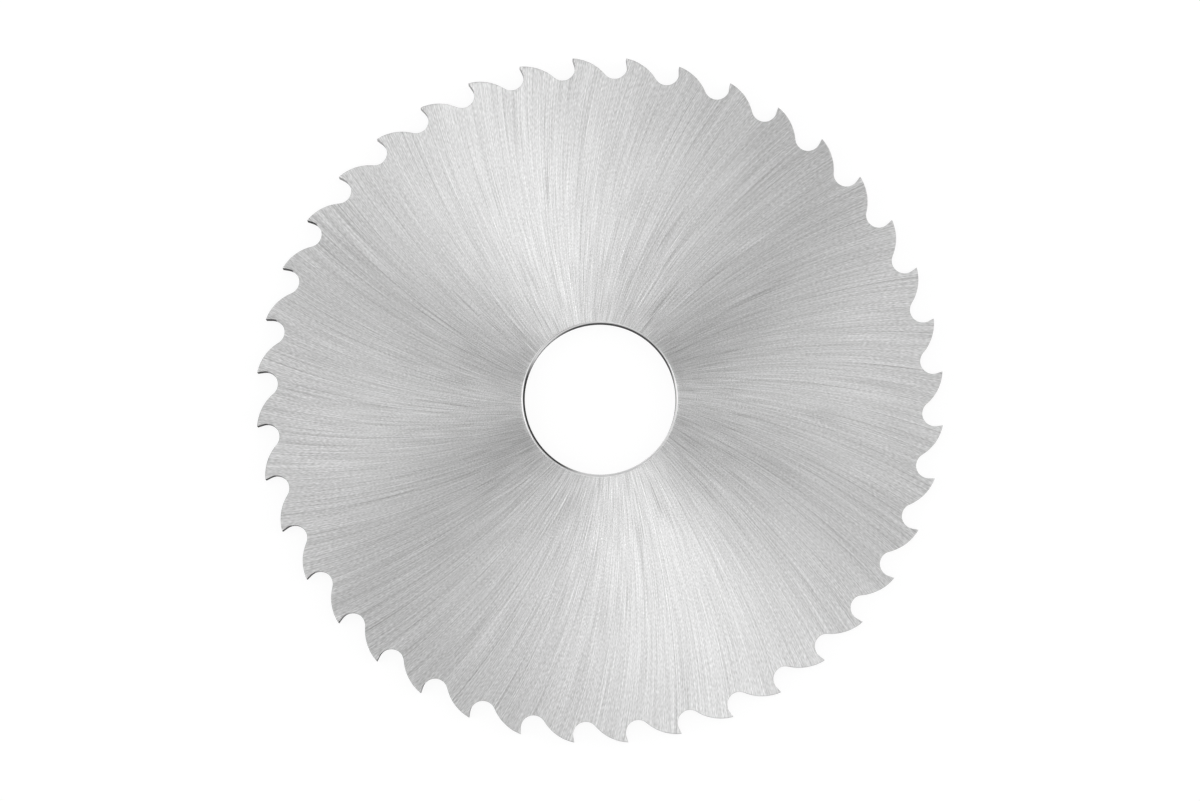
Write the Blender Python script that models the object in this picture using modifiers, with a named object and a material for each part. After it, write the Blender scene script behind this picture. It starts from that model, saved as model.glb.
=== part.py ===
"""Metal slitting saw with coarse curved teeth, made from one steel disc.

It lies flat on its lower side. The origin is on the lower plane, under the centre of the bore.
Lengths are in metres and angles in degrees. Seen from above, the teeth point counter-clockwise.
"""

import math

import bmesh
import bpy
from mathutils import Matrix, Vector

# Blade
TIP_DIAMETER = 0.100
THICKNESS = 0.003  # across the tooth tips, the thickest place
BORE_DIAMETER = 0.022
BORE_CHAMFER = 0.0003
CLAMP_DIAMETER = 0.040  # flat land round the bore that the arbor's collars press on
SIDE_RELIEF = 0.00013  # how far the hollow-ground sides sink from the tips to the clamping land

# Teeth
TOOTH_COUNT = 40
TOOTH_DEPTH = 0.0031
RAKE_ANGLE = 13.0  # the face leans forward of a radius through its tip
RELIEF_ANGLE = 7.5  # the back falls behind the tip circle
GULLET_RADIUS = 0.00185

# Fineness of the curves
FACETS_PER_TOOTH = 5
BACK_STEPS = 9
GULLET_STEPS = 11

STEEL = (0.56, 0.56, 0.56, 1.0)
STEEL_ROUGHNESS = 0.32


def clear_scene():
    for thing in list(bpy.data.objects):
        bpy.data.objects.remove(thing, do_unlink=True)


def new_collection(name):
    collection = bpy.data.collections.new(name)
    bpy.context.scene.collection.children.link(collection)
    return collection


def steel_material():
    material = bpy.data.materials.new("ground_steel")
    material.use_nodes = True
    shader = material.node_tree.nodes["Principled BSDF"]
    shader.inputs["Base Color"].default_value = STEEL
    shader.inputs["Metallic"].default_value = 1.0
    shader.inputs["Roughness"].default_value = STEEL_ROUGHNESS
    material.diffuse_color = STEEL
    return material


def blank_profile():
    """Section of the turned disc as (radius, height): hollow sides, a clamping land and a chamfered bore.

    The disc is one tooth depth larger in radius than the tips, so that the tooth form cuts it all round.
    """
    tip_radius = TIP_DIAMETER / 2
    land_radius = CLAMP_DIAMETER / 2
    bore_radius = BORE_DIAMETER / 2
    slope = SIDE_RELIEF / (tip_radius - land_radius)
    stock_radius = tip_radius + TOOTH_DEPTH
    stock_rise = TOOTH_DEPTH * slope
    land_top = THICKNESS - SIDE_RELIEF
    land_bottom = SIDE_RELIEF
    return [
        (bore_radius, land_top - BORE_CHAMFER),
        (bore_radius + BORE_CHAMFER, land_top),
        (land_radius, land_top),
        (stock_radius, THICKNESS + stock_rise),
        (stock_radius, -stock_rise),
        (land_radius, land_bottom),
        (bore_radius + BORE_CHAMFER, land_bottom),
        (bore_radius, land_bottom + BORE_CHAMFER),
    ]


def turned_blank(collection, material):
    """The disc before its teeth are cut: its section turned once round the bore's axis."""
    points = [(radius, 0.0, height) for radius, height in blank_profile()]
    loop = [(i, (i + 1) % len(points)) for i in range(len(points))]
    mesh = bpy.data.meshes.new("saw_blade")
    mesh.from_pydata(points, loop, [])
    mesh.materials.append(material)
    blank = bpy.data.objects.new("saw_blade", mesh)
    collection.objects.link(blank)
    turn = blank.modifiers.new("turn", "SCREW")
    turn.axis = "Z"
    turn.angle = math.tau
    turn.steps = FACETS_PER_TOOTH * TOOTH_COUNT
    turn.render_steps = turn.steps
    turn.use_merge_vertices = True
    turn.merge_threshold = 0.00001
    return blank


def arc(centre, start, end, steps):
    """Points on the shorter arc round a centre, from start to end, both included."""
    first = start - centre
    sweep = first.angle_signed(end - centre)
    return [centre + Matrix.Rotation(-sweep * i / steps, 2) @ first for i in range(steps + 1)]


def tooth_outline():
    """One pitch of the rim, clockwise, for a tooth whose tip is straight up from the centre.

    It starts at the tip of the next tooth counter-clockwise and runs down that tooth's round back, through the
    gullet and up this tooth's straight face. The gullet touches the face, and the back touches the gullet.
    """
    tip_radius = TIP_DIAMETER / 2
    rake = math.radians(RAKE_ANGLE)
    relief = math.radians(RELIEF_ANGLE)
    tip = Vector((0.0, tip_radius))
    down_face = Vector((math.sin(rake), -math.cos(rake)))
    off_face = Vector((-math.cos(rake), -math.sin(rake)))

    # The gullet's centre is one radius off the face, and as far from the axis as the depth asks.
    offset = tip + off_face * GULLET_RADIUS
    centre_distance = tip_radius - TOOTH_DEPTH + GULLET_RADIUS
    along = offset.dot(down_face)
    face_length = -along - math.sqrt(along**2 - offset.length_squared + centre_distance**2)
    gullet_centre = offset + down_face * face_length
    face_foot = tip + down_face * face_length

    # The back is an arc from the next tip that meets the gullet's circle without a corner.
    pitch = math.tau / TOOTH_COUNT
    next_tip = Matrix.Rotation(pitch, 2) @ tip
    back_normal = Matrix.Rotation(pitch - relief, 2) @ Vector((0.0, -1.0))
    gap = next_tip - gullet_centre
    back_radius = (gap.length_squared - GULLET_RADIUS**2) / (2 * (GULLET_RADIUS - gap.dot(back_normal)))
    back_centre = next_tip + back_normal * back_radius
    join = gullet_centre + (back_centre - gullet_centre).normalized() * GULLET_RADIUS

    back = arc(back_centre, next_tip, join, BACK_STEPS)
    gullet = arc(gullet_centre, join, face_foot, GULLET_STEPS)
    return back + gullet[1:]


def tooth_form(collection):
    """The toothed outline as a flat curve, thicker than the blank, made a mesh to cut with."""
    pitch = math.tau / TOOTH_COUNT
    outline = tooth_outline()
    points = []
    for number in range(TOOTH_COUNT):
        turn = Matrix.Rotation((number + 0.5) * pitch - math.pi / 2, 2)
        points += [turn @ point for point in reversed(outline)]

    curve = bpy.data.curves.new("tooth_form", "CURVE")
    curve.dimensions = "2D"
    curve.fill_mode = "BOTH"
    curve.extrude = THICKNESS
    spline = curve.splines.new("POLY")
    spline.points.add(len(points) - 1)
    for place, point in zip(spline.points, points):
        place.co = (point.x, point.y, 0.0, 1.0)
    spline.use_cyclic_u = True
    drawn = bpy.data.objects.new("tooth_outline", curve)
    drawn.location.z = THICKNESS / 2
    collection.objects.link(drawn)

    bpy.context.view_layer.update()
    evaluated = drawn.evaluated_get(bpy.context.evaluated_depsgraph_get())
    mesh = bpy.data.meshes.new_from_object(evaluated)
    form = bpy.data.objects.new("tooth_form", mesh)
    form.matrix_world = drawn.matrix_world.copy()
    collection.objects.link(form)
    bpy.data.objects.remove(drawn, do_unlink=True)

    shell = bmesh.new()
    shell.from_mesh(mesh)
    bmesh.ops.remove_doubles(shell, verts=shell.verts, dist=0.000001)
    bmesh.ops.recalc_face_normals(shell, faces=shell.faces)
    shell.to_mesh(mesh)
    shell.free()
    form.hide_render = True
    form.display_type = "WIRE"
    return form


def cut_teeth(blank, form):
    """Keeps what the disc and the toothed outline have in common."""
    cut = blank.modifiers.new("teeth", "BOOLEAN")
    cut.operation = "INTERSECT"
    cut.solver = "EXACT"
    cut.object = form


def build():
    clear_scene()
    parts = new_collection("slitting_saw")
    cutters = new_collection("cutters")
    blade = turned_blank(parts, steel_material())
    cut_teeth(blade, tooth_form(cutters))


build()
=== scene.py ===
"""Looks of the slitting saw: its ground steel blade, a white floor, soft light and the camera.

Lengths are in metres and angles in degrees, unless a name or a comment says radians. The saw lies flat
on the floor with its bore's axis up, and seen from above its teeth point counter-clockwise.
"""

import math

import bpy
import numpy as np
from mathutils import Matrix, Vector


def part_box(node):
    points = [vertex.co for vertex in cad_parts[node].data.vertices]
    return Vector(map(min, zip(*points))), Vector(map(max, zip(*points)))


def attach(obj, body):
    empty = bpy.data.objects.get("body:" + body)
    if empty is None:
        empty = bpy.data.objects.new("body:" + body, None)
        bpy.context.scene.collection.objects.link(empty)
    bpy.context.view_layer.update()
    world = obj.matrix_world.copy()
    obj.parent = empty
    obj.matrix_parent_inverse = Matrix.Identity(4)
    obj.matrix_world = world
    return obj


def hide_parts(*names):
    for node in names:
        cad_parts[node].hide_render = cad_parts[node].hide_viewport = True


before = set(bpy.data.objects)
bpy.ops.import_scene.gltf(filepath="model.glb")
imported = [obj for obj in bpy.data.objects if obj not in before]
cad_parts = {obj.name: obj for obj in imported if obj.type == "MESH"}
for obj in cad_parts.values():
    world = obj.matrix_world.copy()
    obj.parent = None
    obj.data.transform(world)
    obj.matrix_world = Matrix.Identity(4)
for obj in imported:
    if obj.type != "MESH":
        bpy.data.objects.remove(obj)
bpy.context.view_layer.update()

# Blade, as in the part's source
TOOTH_COUNT = 40
TOOTH_DEPTH = 0.0031
RAKE_ANGLE = 13.0
RELIEF_ANGLE = 7.5
GULLET_RADIUS = 0.00185
BORE_RADIUS = 0.011
BORE_CHAMFER = 0.0003
LAND_RADIUS = 0.020
SIDE_RELIEF = 0.00013

# Sizes that the frame gives: a tip stands half a pitch to each side of every axis of the box
BLADE_LOW, BLADE_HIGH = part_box("saw_blade")
PITCH = math.tau / TOOTH_COUNT  # in radians
TIP_RADIUS = BLADE_HIGH.x / math.cos(PITCH / 2)
MIDDLE_HEIGHT = (BLADE_LOW.z + BLADE_HIGH.z) / 2

# Small rounding of the edges
EDGE_BREAK = 0.00003
CHAMFER_FOOT = 0.00036  # where the bore's wall meets the chamfer
CHAMFER_TOP = 0.0002  # where the chamfer meets the side
CHAMFER_SHIFT = (-0.0001, -0.00004)  # the chamfer's upper edge is cut slightly off the bore's centre

# Fineness of the mesh
BACK_STEPS = 14
GULLET_STEPS = 15
FACE_STEPS = 3
FOOT_STEPS = 2  # steps of the gullet, next to the straight face, that are ground together with it
ROUND_STEPS = 4
SIDE_RINGS = 16
SHARP_ANGLE = 35.0  # an edge bent more than this is drawn sharp
BLEND_SHARES = (0.35, 0.7, 0.96, 1.0)  # places of the rings from the plain circle to the toothed outline

# The toothed rings start from this circle. Its points are shared out over a pitch so that no face folds.
PLAIN_RADIUS = 0.0455
BACK_SHARE = 0.42
FACE_SHARE = 0.04
TIP_LAG = -3.0

# The grinding lines run outward and lean back: a line keeps the phase angle + OUTER_LEAN * r - INNER_LEAN / r
OUTER_LEAN = 4.76  # radians per metre
INNER_LEAN = 0.001013  # metres times radians

# Grain and streaks of the ground sides: width, length, and strength as a share of the steel's tone
STREAKS = (
    (0.00013, 0.0003, 0.104),
    (0.00013, 0.006, 0.072),
    (0.00014, 0.016, 0.061),
    (0.00018, 0.040, 0.036),
    (0.0020, 0.050, 0.007),
)
STREAK_START = 10.0  # how far along the noise each layer begins past the one before it
STREAK_BOOST = (0.012, 0.030, 1.4, 1.0)  # between two radii the streaks weaken from one share to the other

# The few darker lines: width, length and strength, then the two levels of the noise at which a line begins
# and is full, and how far along the noise the lines begin
SCRATCHES = (0.00022, 0.040, 0.12)
SCRATCH_LEVELS = (0.8, 1.2)
SCRATCH_START = 70.0

# The streaks are drawn once for each of these radii, and fade from one to the next between the limits given
STREAK_RADII = (0.0128, 0.0165, 0.0247, 0.041)
STREAK_FADES = ((0.0125, 0.015), (0.0185, 0.0225), (0.028, 0.035))
GROWTH_RADIUS = 0.027  # at this radius the streaks and scratches have the lengths given
BUNDLE_ANGLE = 0.025  # radians across a bundle of streaks that end at about the same radius
STAGGER = 1.5  # how many lengths the ends of neighbouring bundles are set apart

# Fine lines of the other surfaces: width, length and strength
RIM_LINES = ((0.00005, 0.004, 0.12), (0.0002, 0.006, 0.10))
BORE_LINES = ((0.00003, 0.006, 0.12), (0.00012, 0.012, 0.10))

# Bare metal: tone and roughness. Where there are two of each, the second is for the places with painted
# shade.
SIDE_TONE, SIDE_ROUGHNESS = 0.588, 0.36
# The bore wall's dark tone is painted shade
WALL_SHADED_TONE, WALL_ROUGHNESS = 0.11, 0.8
RIM_TONE, RIM_ROUGHNESS = (0.48, 0.23), (0.32, 0.62)
TOOTH_TONE, TOOTH_ROUGHNESS = (0.65, 0.13), (0.48, 0.76)
CHAMFER_TONE, CHAMFER_ROUGHNESS = (0.74, 0.05), (0.32, 0.62)

# The side's tone goes from one share to the other between two radii
HUB_SHADE = (0.011, 0.026, 0.91, 1.0)
OUTER_SHADE = (0.035, 0.045, 1.0, 0.955)

# What a line of full strength adds to the roughness, and how many times over it changes the wall's tone
SIDE_ROUGHENING = -0.25
CUT_ROUGHENING = 0.2
WALL_ROUGHENING = 0.5
WALL_CONTRAST = 3

# Height of the relief for a line of full strength
SIDE_GROOVE = 0.000002
CUT_GROOVE = 0.000005
WALL_GROOVE = 0.000006
CHAMFER_GROOVE = 0.000003

# Painted shade, a darker tone with more roughness: azimuth, and the angles off it where it begins to fade and
# is gone. On the chamfer it also fades between two distances from the bore's wall.
FACE_PAINTED_SHADE = (198, 50, 62)
RIM_PAINTED_SHADE = (203, 0, 50)
CHAMFER_PAINTED_SHADES = (
    ((201, 34, 57), (0.00022, 0.00034)),
    ((70, 40, 62), (0.00004, 0.00018)),
)

# The camera stands almost straight above the saw. Its lens and sensor are in millimetres.
VIEW_TILT = 4.015
VIEW_AZIMUTH = 255.0
VIEW_DISTANCE = 0.712
VIEW_ROLL = -0.158
VIEW_AIM = (-0.00006, -0.00024)
VIEW_LENS = 146.9
VIEW_SENSOR = 36.0
VIEW_CLIP = (0.01, 20.0)

# The lamps' zenith is the direction that the blade mirrors to the camera, and each lamp has a twin on the
# other side of it. A lamp's azimuth, elevation, width, height and radiance:
LAMP_DISTANCE = 0.8
LAMPS = {
    "low_box": (9.0, 41.7, 0.40, 0.43, 1.81),
    "end_box": (84.3, 56.9, 0.17, 0.31, 2.22),
    "top_box": (-0.3, 75.2, 0.46, 0.32, 1.77),
}

# The room's light fades towards that direction, between two cosines of the angle off it: first from one level
# to the other, then by the dark place behind the camera, whose level is taken off
CEILING_FADE = (0.21, 0.64, 1.0, 0.35)
CAMERA_DARK = (0.77, 0.985, 0.0, 0.3)

# Floor: half its width, its paint, and the strength and share of the white that the camera and mirrors see
FLOOR_HALF = 2.0
FLOOR_PAINT = 0.9
FLOOR_GLOW = 1.04
FLOOR_GLOW_SHARE = 0.88


def towards(azimuth, elevation):
    """The direction of unit length at an azimuth and an elevation in degrees."""
    azimuth, elevation = math.radians(azimuth), math.radians(elevation)
    return Vector((
        math.cos(elevation) * math.cos(azimuth),
        math.cos(elevation) * math.sin(azimuth),
        math.sin(elevation),
    ))


def mirrored_view():
    """The direction whose light a flat blade mirrors to the camera."""
    return towards(VIEW_AZIMUTH - 180, 90 - VIEW_TILT)


def turned(points, angle):
    """Flat points turned round the origin by an angle in radians, counter-clockwise."""
    cos, sin = np.cos(angle), np.sin(angle)
    x, y = points[..., 0], points[..., 1]
    return np.stack([x * cos - y * sin, x * sin + y * cos], axis=-1)


def arc(centre, start, end, steps):
    """Points on the shorter arc round a centre, from start up to, but without, end."""
    first = start - centre
    last = end - centre
    sweep = np.arctan2(first[0] * last[1] - first[1] * last[0], first @ last)
    return centre + turned(first[None, :], sweep * np.arange(steps) / steps)


def tooth_outline():
    """One pitch of the rim, clockwise, for a tooth whose tip is straight up from the centre.

    Down the round back of the next tooth, through the gullet and up this tooth's straight face. The gullet's
    circle touches the face, and the back is an arc from the next tip that touches the gullet's circle.
    """
    rake = math.radians(RAKE_ANGLE)
    tip = np.array([0.0, TIP_RADIUS])
    down_face = np.array([math.sin(rake), -math.cos(rake)])
    off_face = np.array([-math.cos(rake), -math.sin(rake)])

    offset = tip + off_face * GULLET_RADIUS
    centre_distance = TIP_RADIUS - TOOTH_DEPTH + GULLET_RADIUS
    along = offset @ down_face
    face_length = -along - math.sqrt(along**2 - offset @ offset + centre_distance**2)
    gullet_centre = offset + down_face * face_length
    face_foot = tip + down_face * face_length

    next_tip = turned(tip, PITCH)
    back_normal = turned(np.array([0.0, -1.0]), PITCH - math.radians(RELIEF_ANGLE))
    gap = next_tip - gullet_centre
    back_radius = (gap @ gap - GULLET_RADIUS**2) / (2 * (GULLET_RADIUS - gap @ back_normal))
    back_centre = next_tip + back_normal * back_radius
    to_back = back_centre - gullet_centre
    join = gullet_centre + to_back / np.linalg.norm(to_back) * GULLET_RADIUS

    back = arc(back_centre, next_tip, join, BACK_STEPS)
    gullet = arc(gullet_centre, join, face_foot, GULLET_STEPS)
    face = face_foot + (tip - face_foot) * (np.arange(FACE_STEPS) / FACE_STEPS)[:, None]
    return np.concatenate([back, gullet, face])


def rim_stations():
    """The whole toothed outline, counter-clockwise, and the angle of each station on the plain circle.

    The plain circle's angles are shared out over a pitch in three parts, for back, gullet and face, and lag
    behind the tips, so that the lines from the outline inward lean the way the teeth do.
    """
    outline = tooth_outline()
    shares = np.concatenate([
        np.full(BACK_STEPS, BACK_SHARE / BACK_STEPS),
        np.full(GULLET_STEPS, (1 - BACK_SHARE - FACE_SHARE) / GULLET_STEPS),
        np.full(FACE_STEPS, FACE_SHARE / FACE_STEPS),
    ])
    done = np.cumsum(shares) - shares
    angles = math.radians(TIP_LAG) + PITCH * (1 - done)
    turns = (np.arange(TOOTH_COUNT) + 0.5) * PITCH
    points = np.concatenate([turned(outline[::-1], turn - math.pi / 2) for turn in turns])
    plain = np.concatenate([angles[::-1] + turn for turn in turns])
    return points, plain


def inward(points):
    """At each point of a closed outline, the step inward that keeps both its sides one unit inside."""
    ahead = np.roll(points, -1, axis=0) - points
    ahead /= np.linalg.norm(ahead, axis=1)[:, None]
    behind = np.roll(ahead, 1, axis=0)
    normal_ahead = np.stack([-ahead[:, 1], ahead[:, 0]], axis=1)
    normal_behind = np.stack([-behind[:, 1], behind[:, 0]], axis=1)
    middle = normal_ahead + normal_behind
    middle /= np.linalg.norm(middle, axis=1)[:, None]
    return middle / np.sum(middle * normal_ahead, axis=1)[:, None]


def side_height(radius):
    """Height of the upper side: flat on the clamping land, then rising in a straight line to the tips."""
    slope = SIDE_RELIEF / (TIP_RADIUS - LAND_RADIUS)
    return BLADE_HIGH.z - slope * (TIP_RADIUS - np.maximum(radius, LAND_RADIUS))


def bore_rings():
    """Radius and height of the rings from the middle of the bore's wall out to the edge of the land.

    The chamfer is a straight slope of 45 degrees, and each of its two corners is a small arc.
    """
    land = float(side_height(BORE_RADIUS))
    turn = np.radians(np.linspace(0, 45, ROUND_STEPS))
    reach = math.tan(math.radians(22.5))
    lower = np.stack([
        BORE_RADIUS + CHAMFER_FOOT * (1 - np.cos(turn)),
        land - BORE_CHAMFER - CHAMFER_FOOT * (reach - np.sin(turn)),
    ], axis=1)
    upper = np.stack([
        BORE_RADIUS + BORE_CHAMFER + CHAMFER_TOP * (reach - np.sin(turn[::-1])),
        land - CHAMFER_TOP * (1 - np.cos(turn[::-1])),
    ], axis=1)
    wall = np.array([[BORE_RADIUS, MIDDLE_HEIGHT]])
    return np.concatenate([wall, lower, upper])


def blade_grid():
    """Every point of the blade as a grid: stations round the rim by rings round the section.

    The upper half goes from the middle of the bore's wall over the chamfer and the side to the middle of the
    rim's wall, and the lower half is its mirror image on the way back. Rings up to the plain circle are
    circles. Outside it a ring is a straight blend from that circle to the toothed outline, and the last ones
    follow a quarter circle round the outline's edge. Also gives each ring's name: bore, chamfer, side or rim.
    """
    points, plain = rim_stations()
    step_in = inward(points)
    heading = np.stack([np.cos(plain), np.sin(plain)], axis=1)

    flat, heights, names = [], [], []

    def circle(radius, height, name, centre=(0.0, 0.0)):
        flat.append(heading * radius + centre)
        heights.append(np.full(len(points), height))
        names.append(name)

    bore = bore_rings()
    bore_names = ["bore"] * 2 + ["chamfer"] * (len(bore) - 3) + ["side"]
    for number, ((radius, height), name) in enumerate(zip(bore, bore_names)):
        circle(radius, height, name, CHAMFER_SHIFT if number > ROUND_STEPS else (0.0, 0.0))
    radii = np.geomspace(bore[-1, 0], PLAIN_RADIUS, SIDE_RINGS)[1:]
    for radius in np.sort(np.append(radii, LAND_RADIUS)):
        circle(radius, float(side_height(radius)), "side")

    edge = points + step_in * EDGE_BREAK
    inner = heading * PLAIN_RADIUS
    for share in BLEND_SHARES:
        ring = inner + (edge - inner) * share
        flat.append(ring)
        heights.append(side_height(np.linalg.norm(ring, axis=1)))
        names.append("side")
    for turn in np.radians(np.linspace(0, 90, ROUND_STEPS + 1)[1:]):
        ring = points + step_in * EDGE_BREAK * (1 - math.sin(turn))
        flat.append(ring)
        heights.append(side_height(np.linalg.norm(ring, axis=1)) - EDGE_BREAK * (1 - math.cos(turn)))
        names.append("rim")
    flat.append(points)
    heights.append(np.full(len(points), MIDDLE_HEIGHT))
    names.append("rim")

    upper = np.concatenate([np.array(flat), np.array(heights)[..., None]], axis=2)
    lower = upper[-2:0:-1].copy()
    lower[..., 2] = 2 * MIDDLE_HEIGHT - lower[..., 2]
    return np.concatenate([upper, lower]), names + names[-2:0:-1]


def band_names(names):
    """Name of the surface between each ring and the next.

    Where the names of the two rings differ, the ring nearer a wall gives it.
    """
    order = {"side": 0, "chamfer": 1, "bore": 2, "rim": 3}
    pairs = zip(names, names[1:] + names[:1])
    return [max(pair, key=order.get) for pair in pairs]


def patch_names(bands, stations):
    """Name of the surface of every face of the grid: the band's, but for the teeth's faces and their feet."""
    names = np.repeat(np.array(bands)[:, None], stations, axis=1)
    on_tooth_face = (np.arange(stations) + 1) % (stations // TOOTH_COUNT) < FACE_STEPS + FOOT_STEPS
    names[(names == "rim") & on_tooth_face] = "tooth"
    return names


def closed_mesh(name, grid, patches, materials, maps):
    """A mesh over a grid that closes both ways, with the material that each face's patch names, and UV maps.

    Rings follow the first axis and stations the second. Each map holds one row of rings and one column of
    stations more than the grid, so that it needn't close.
    """
    rings, stations = grid.shape[:2]
    ring, station = np.meshgrid(np.arange(rings), np.arange(stations), indexing="ij")
    corners = [(0, 0), (1, 0), (1, 1), (0, 1)]
    faces = np.stack([
        (ring + up) % rings * stations + (station + on) % stations for up, on in corners
    ], axis=-1).reshape(-1, 4)

    mesh = bpy.data.meshes.new(name)
    mesh.from_pydata(grid.reshape(-1, 3), [], faces)
    slots = np.zeros(patches.shape, dtype=np.int32)
    for number, (key, material) in enumerate(materials.items()):
        mesh.materials.append(material)
        slots[patches == key] = number
    mesh.polygons.foreach_set("material_index", slots.reshape(-1))
    mesh.polygons.foreach_set("use_smooth", np.ones(len(faces), dtype=bool))

    for map_name, coordinates in maps.items():
        layer = mesh.uv_layers.new(name=map_name)
        rows = [coordinates[ring, up, station + on] for up, on in corners]
        layer.uv.foreach_set("vector", np.stack(rows, axis=-2).reshape(-1).astype(np.float32))
    mesh.update()
    mesh.set_sharp_from_angle(angle=math.radians(SHARP_ANGLE))
    piece = bpy.data.objects.new(name, mesh)
    bpy.context.scene.collection.objects.link(piece)
    return piece


def grain_map(grid, bands):
    """UV map whose U runs along the grain of every surface, for each ring band, edge and station.

    On the sides U is the radius and V the phase of the grinding line. On the rim U is the height and V the
    length round the outline. In the bore and on its chamfer U is the length round, and V is the height in the
    bore and the distance from the bore's wall on the chamfer.
    """
    closed = np.concatenate([grid, grid[:1]], axis=0)
    radius = np.linalg.norm(closed[..., :2], axis=2)
    polar = np.unwrap(np.arctan2(closed[..., 1], closed[..., 0]), axis=1)
    phase = polar + OUTER_LEAN * radius - INNER_LEAN / radius
    rim = grid[np.argmax(radius.max(axis=1)), :, :2]
    length = np.concatenate([[0], np.cumsum(np.linalg.norm(np.roll(rim, -1, axis=0) - rim, axis=1))])

    def widened(values, whole):
        return np.concatenate([values, values[:, :1] + whole], axis=1)

    across = widened(radius, 0.0)
    height = widened(closed[..., 2], 0.0)
    line = widened(phase, math.tau)
    around = widened(polar, math.tau) * BORE_RADIUS
    outline = np.broadcast_to(length, across.shape)
    kinds = {
        "side": (across, line * BORE_RADIUS),
        "rim": (height, outline),
        "bore": (around, height),
        "chamfer": (around, across - BORE_RADIUS),
    }
    rows = []
    for number, band in enumerate(bands):
        u, v = kinds[band]
        rows.append(np.stack([u[number:number + 2], v[number:number + 2]], axis=-1))
    return np.array(rows)


class Term:
    """A socket in a node tree. Maths on it adds nodes, so shader formulas are written as expressions."""

    def __init__(self, nodes, socket):
        self.nodes = nodes
        self.socket = socket

    def maths(self, operation, first, second=0.0):
        return self.nodes.add("ShaderNodeMath", {"operation": operation}, {0: first, 1: second})

    def __add__(self, other):
        return self.maths("ADD", self, other)

    def __sub__(self, other):
        return self.maths("SUBTRACT", self, other)

    def __mul__(self, other):
        return self.maths("MULTIPLY", self, other)

    def __truediv__(self, other):
        return self.maths("DIVIDE", self, other)

    def __pow__(self, other):
        return self.maths("POWER", self, other)

    def __rsub__(self, other):
        return self.maths("SUBTRACT", other, self)

    def __rtruediv__(self, other):
        return self.maths("DIVIDE", other, self)

    __radd__ = __add__
    __rmul__ = __mul__

    def within(self, low, high, start=0.0, end=1.0):
        """Goes smoothly from start to end while this term goes from low to high."""
        settings = {"interpolation_type": "SMOOTHSTEP"}
        sockets = {"Value": self, "From Min": low, "From Max": high, "To Min": start, "To Max": end}
        return self.nodes.add("ShaderNodeMapRange", settings, sockets)


class Nodes:
    """The emptied node tree of a material or the world."""

    def __init__(self, owner):
        owner.use_nodes = True
        self.tree = owner.node_tree
        self.tree.nodes.clear()

    def add(self, kind, settings=None, sockets=None, output=0):
        """Adds a node: first its settings, then its sockets' numbers or links. Gives one of its outputs."""
        node = self.tree.nodes.new(kind)
        for name, value in (settings or {}).items():
            setattr(node, name, value)
        for name, value in (sockets or {}).items():
            if isinstance(value, Term):
                self.tree.links.new(value.socket, node.inputs[name])
            else:
                node.inputs[name].default_value = value
        return Term(self, node.outputs[output]) if node.outputs else None

    def vector(self, operation, first, second=(0.0, 0.0, 0.0), output=0):
        return self.add("ShaderNodeVectorMath", {"operation": operation}, {0: first, 1: second}, output)

    def noise(self, place, detail):
        """Noise about zero over a place's X and Y, one cell to a unit, mostly between -1 and 1."""
        sockets = {"Vector": place, "Scale": 1.0, "Detail": detail, "Roughness": 0.5}
        return (self.add("ShaderNodeTexNoise", {"noise_dimensions": "2D"}, sockets) - 0.5) * 4.0


def new_material(name):
    material = bpy.data.materials.new(name)
    return material, Nodes(material)


def grey(level):
    """A grey for a colour socket: red, green, blue and alpha."""
    return (level, level, level, 1.0)


def grinding(nodes, radius):
    """The ground side's lines and grain: how bright each place is, about zero.

    A grinding line keeps its phase: the place's angle round the axis plus the line's sweep at its radius. The
    phase times the radius at which a streak has its true width is the noise's place across the lines. Its
    place along them is the radius's natural logarithm times GROWTH_RADIUS over the streak's length, so that
    a streak's length grows with its radius, and a stagger that changes from bundle to bundle of streaks keeps
    their ends off common circles. Such patterns for several radii fade into each other, so that the streaks
    stay about as wide all over. The squares of their shares add up to one, which keeps the contrast the same
    through the fades. At the end all lines are made a little stronger near the bore.
    """
    place = nodes.add("ShaderNodeTexCoord", output="Object")
    x = nodes.add("ShaderNodeSeparateXYZ", None, {"Vector": place}, "X")
    y = nodes.add("ShaderNodeSeparateXYZ", None, {"Vector": place}, "Y")
    phase = y.maths("ARCTAN2", y, x) + radius * OUTER_LEAN - INNER_LEAN / radius
    fades = [1.0, *(radius.within(*limits) for limits in STREAK_FADES), 0.0]
    shares = [(before - after) ** 0.5 for before, after in zip(fades, fades[1:])]

    growing = radius.maths("LOGARITHM", radius, math.e) * GROWTH_RADIUS
    bundle = nodes.add("ShaderNodeCombineXYZ", None, {"X": phase / BUNDLE_ANGLE})
    stagger = nodes.noise(bundle, 1.0) * STAGGER

    def pattern(width, length, start):
        along = growing / length + stagger + start
        streaks = 0.0
        for middle, share in zip(STREAK_RADII, shares):
            cell = nodes.add("ShaderNodeCombineXYZ", None, {"X": phase * (middle / width), "Y": along})
            streaks = nodes.noise(cell, 0.0) * share + streaks
        return streaks

    width, length, strength = SCRATCHES
    total = pattern(width, length, SCRATCH_START).within(*SCRATCH_LEVELS, 0.0, -strength)
    for number, (width, length, strength) in enumerate(STREAKS):
        total = pattern(width, length, STREAK_START * number) * strength + total
    return total * radius.within(*STREAK_BOOST)


def ruled(nodes, lines):
    """Fine straight lines along U of the grain map, about zero."""
    place = nodes.add("ShaderNodeUVMap", {"uv_map": "grain"})
    total = 0.0
    for width, length, strength in lines:
        stretched = nodes.vector("MULTIPLY", place, (1 / length, 1 / width, 0.0))
        total = nodes.noise(stretched, 1.0) * strength + total
    return total


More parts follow.
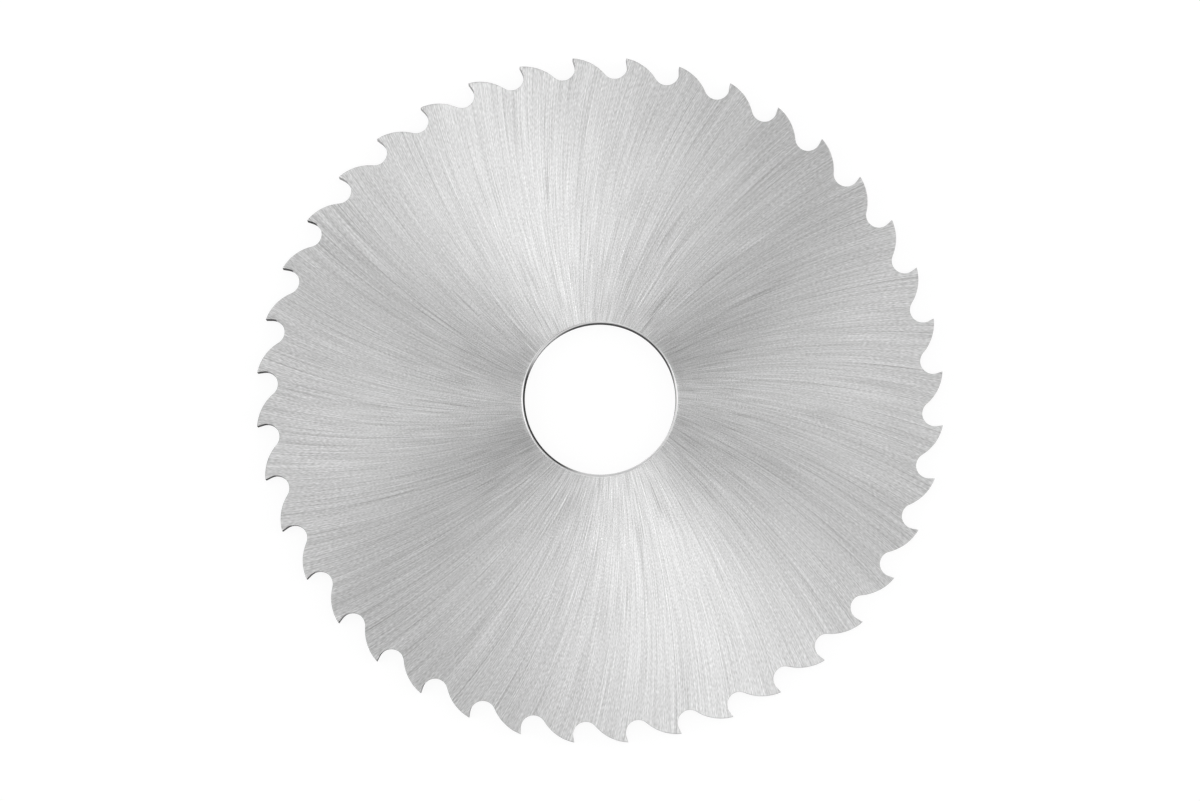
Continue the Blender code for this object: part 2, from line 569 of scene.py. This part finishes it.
def painted_shade_mask(nodes, azimuth, inner, outer):
    """Mask of painted shade: one round an azimuth of the saw, and zero from the outer angle off it on, with a
    fade between.
    """
    place = nodes.add("ShaderNodeTexCoord", output="Object")
    heading = nodes.vector("NORMALIZE", nodes.vector("MULTIPLY", place, (1.0, 1.0, 0.0)))
    facing = nodes.vector("DOT_PRODUCT", heading, towards(azimuth, 0), output="Value")
    return facing.within(math.cos(math.radians(outer)), math.cos(math.radians(inner)))


def with_painted_shade(values, shade_mask):
    """From the first value, where the painted shade mask is zero, in a straight line to the second, where it
    is one.
    """
    unshaded, shaded = values
    return unshaded + (shaded - unshaded) * shade_mask


def bare_metal(nodes, tone, rough, relief, fixed):
    """Ends a material as bare metal. The relief is in metres, and fixed holds more of the shader's values."""
    bump = nodes.add("ShaderNodeBump", None, {"Height": relief, "Distance": 1.0})
    nodes.add("ShaderNodeOutputMaterial", None, {
        "Surface": nodes.add("ShaderNodeBsdfPrincipled", {"distribution": "GGX"}, {
            "Base Color": tone,
            "Metallic": 1.0,
            "Roughness": rough,
            "Normal": bump,
            **fixed,
        }),
    })


def side_steel():
    """Ground side: bright steel, anisotropic across its grinding lines, smoother where a line is brighter.

    The steel is a little darker round the bore and out towards the teeth.
    """
    material, nodes = new_material("ground_side")
    place = nodes.add("ShaderNodeTexCoord", output="Object")
    radius = nodes.vector("LENGTH", nodes.vector("MULTIPLY", place, (1.0, 1.0, 0.0)), output="Value")
    lines = grinding(nodes, radius)
    tone = SIDE_TONE * radius.within(*HUB_SHADE) * radius.within(*OUTER_SHADE) * (1 + lines)
    rough = SIDE_ROUGHNESS + lines * SIDE_ROUGHENING
    along = nodes.add("ShaderNodeTangent", {"direction_type": "UV_MAP", "uv_map": "grain"})
    bare_metal(nodes, tone, rough, lines * SIDE_GROOVE, {
        "Anisotropic": 0.9,
        "Anisotropic Rotation": 0.25,
        "Tangent": along,
    })
    return material


def cut_rim():
    """Gullets and backs of the teeth, ground across their width, with painted shade round one azimuth: a
    darker tone, and rougher.
    """
    material, nodes = new_material("cut_rim")
    lines = ruled(nodes, RIM_LINES)
    shade_mask = painted_shade_mask(nodes, *RIM_PAINTED_SHADE)
    tone = with_painted_shade(RIM_TONE, shade_mask) * (1 + lines)
    rough = with_painted_shade(RIM_ROUGHNESS, shade_mask) + lines * CUT_ROUGHENING
    bare_metal(nodes, tone, rough, lines * CUT_GROOVE, {})
    return material


def tooth_face():
    """Faces of the teeth and their feet, ground across their width, with painted shade on one side of the
    saw: a darker tone, and rougher.
    """
    material, nodes = new_material("tooth_face")
    lines = ruled(nodes, RIM_LINES)
    shade_mask = painted_shade_mask(nodes, *FACE_PAINTED_SHADE)
    tone = with_painted_shade(TOOTH_TONE, shade_mask) * (1 + lines)
    rough = with_painted_shade(TOOTH_ROUGHNESS, shade_mask) + lines * CUT_ROUGHENING
    bare_metal(nodes, tone, rough, lines * CUT_GROOVE, {"Specular Tint": grey(0.3)})
    return material


def bore_wall():
    """The bore's wall, honed round and round, rough, its tone painted dark and its edge tint off as painted
    shade.
    """
    material, nodes = new_material("bore_wall")
    lines = ruled(nodes, BORE_LINES)
    tone = WALL_SHADED_TONE * (1 + lines * WALL_CONTRAST)
    rough = WALL_ROUGHNESS + lines * WALL_ROUGHENING
    bare_metal(nodes, tone, rough, lines * WALL_GROOVE, {"Specular Tint": grey(0.0)})
    return material


def bore_edge():
    """The bore's chamfer: turned and bright, with painted shade on its lower part round two azimuths: a
    darker tone, and rougher.
    """
    material, nodes = new_material("bore_edge")
    lines = ruled(nodes, BORE_LINES)
    grain = nodes.add("ShaderNodeUVMap", {"uv_map": "grain"})
    rise = nodes.add("ShaderNodeSeparateXYZ", None, {"Vector": grain}, "Y")
    shade_mask = 0.0
    for spread, (full, none) in CHAMFER_PAINTED_SHADES:
        shade_mask = painted_shade_mask(nodes, *spread) * rise.within(full, none, 1.0, 0.0) + shade_mask
    tone = with_painted_shade(CHAMFER_TONE, shade_mask) * (1 + lines)
    rough = with_painted_shade(CHAMFER_ROUGHNESS, shade_mask) + lines * CUT_ROUGHENING
    bare_metal(nodes, tone, rough, lines * CHAMFER_GROOVE, {})
    return material


def ground_blade():
    """The whole blade as one closed shell, with its grain map."""
    grid, names = blade_grid()
    bands = band_names(names)
    materials = {
        "side": side_steel(),
        "rim": cut_rim(),
        "tooth": tooth_face(),
        "bore": bore_wall(),
        "chamfer": bore_edge(),
    }
    patches = patch_names(bands, grid.shape[1])
    piece = closed_mesh("ground_blade", grid, patches, materials, {"grain": grain_map(grid, bands)})
    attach(piece, "root")
    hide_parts("saw_blade")
    return piece


def white_floor():
    """A white floor that the camera, mirrors and glass see almost white, with the saw's faint soft shadow."""
    mesh = bpy.data.meshes.new("floor")
    corners = [(x * FLOOR_HALF, y * FLOOR_HALF, 0.0) for x, y in ((-1, -1), (1, -1), (1, 1), (-1, 1))]
    mesh.from_pydata(corners, [], [(0, 1, 2, 3)])
    floor = bpy.data.objects.new("floor", mesh)
    bpy.context.scene.collection.objects.link(floor)

    material, nodes = new_material("white_floor")
    seen = 0.0
    for ray in ("Is Camera Ray", "Is Glossy Ray", "Is Transmission Ray"):
        seen = nodes.add("ShaderNodeLightPath", output=ray) + seen
    share = seen.within(0.0, 1.0, 0.0, FLOOR_GLOW_SHARE)
    painted = nodes.add("ShaderNodeBsdfDiffuse", None, {"Color": grey(FLOOR_PAINT)})
    glow = nodes.add("ShaderNodeEmission", None, {"Color": grey(1.0), "Strength": FLOOR_GLOW})
    nodes.add("ShaderNodeOutputMaterial", None, {
        "Surface": nodes.add("ShaderNodeMixShader", None, {0: share, 1: painted, 2: glow}),
    })
    mesh.materials.append(material)


def room_light():
    """White round the horizon, greyer overhead like a studio's ceiling, and dark behind the camera."""
    world = bpy.data.worlds.new("studio")
    nodes = Nodes(world)
    heading = nodes.add("ShaderNodeTexCoord", output="Generated")
    height = nodes.vector("DOT_PRODUCT", heading, mirrored_view(), output="Value")
    level = height.within(*CEILING_FADE) - height.within(*CAMERA_DARK)
    glow = nodes.add("ShaderNodeBackground", None, {"Color": grey(1.0), "Strength": level})
    nodes.add("ShaderNodeOutputWorld", None, {"Surface": glow})
    bpy.context.scene.world = world


def softbox(name, azimuth, elevation, width, height, radiance):
    """A soft oblong lamp that faces the saw. Its power gives the same radiance at any size and distance."""
    lamp = bpy.data.lights.new(name, "AREA")
    lamp.shape = "RECTANGLE"
    lamp.size = width
    lamp.size_y = height
    lamp.energy = radiance * math.pi * width * height
    holder = bpy.data.objects.new(name, lamp)
    place = towards(azimuth, elevation) * LAMP_DISTANCE
    turn = Vector((0.0, 0.0, 1.0)).rotation_difference(mirrored_view()).to_matrix().to_4x4()
    face = place.to_track_quat("Z", "Y").to_matrix().to_4x4()
    holder.matrix_world = turn @ Matrix.Translation(place) @ face
    holder.visible_camera = False
    bpy.context.scene.collection.objects.link(holder)


def set_camera():
    """Almost straight above, aimed at the middle of the blade's upper side, with the lens of a long view."""
    camera = bpy.data.objects.new("camera", bpy.data.cameras.new("camera"))
    camera.data.lens = VIEW_LENS
    camera.data.sensor_width = VIEW_SENSOR
    camera.data.clip_start, camera.data.clip_end = VIEW_CLIP
    back = towards(VIEW_AZIMUTH, 90 - VIEW_TILT)
    top = Vector((0.0, 0.0, BLADE_HIGH.z))
    aim = Vector((VIEW_AIM[0], VIEW_AIM[1], BLADE_HIGH.z))
    place = top + back * VIEW_DISTANCE
    sight = (place - aim).normalized()
    roll = math.radians(VIEW_ROLL)
    up = Vector((-math.sin(roll), math.cos(roll), 0.0))
    right = up.cross(sight).normalized()
    up = sight.cross(right)
    turn = Matrix((right, up, sight)).transposed().to_4x4()
    camera.matrix_world = Matrix.Translation(place) @ turn
    bpy.context.scene.collection.objects.link(camera)
    bpy.context.scene.camera = camera


ground_blade()
white_floor()
room_light()
for side in (0, 180):
    for name, (azimuth, elevation, width, height, radiance) in LAMPS.items():
        softbox(f"{name}_{side}", side + azimuth, elevation, width, height, radiance)
set_camera()
bpy.context.scene.view_settings.view_transform = "Standard"
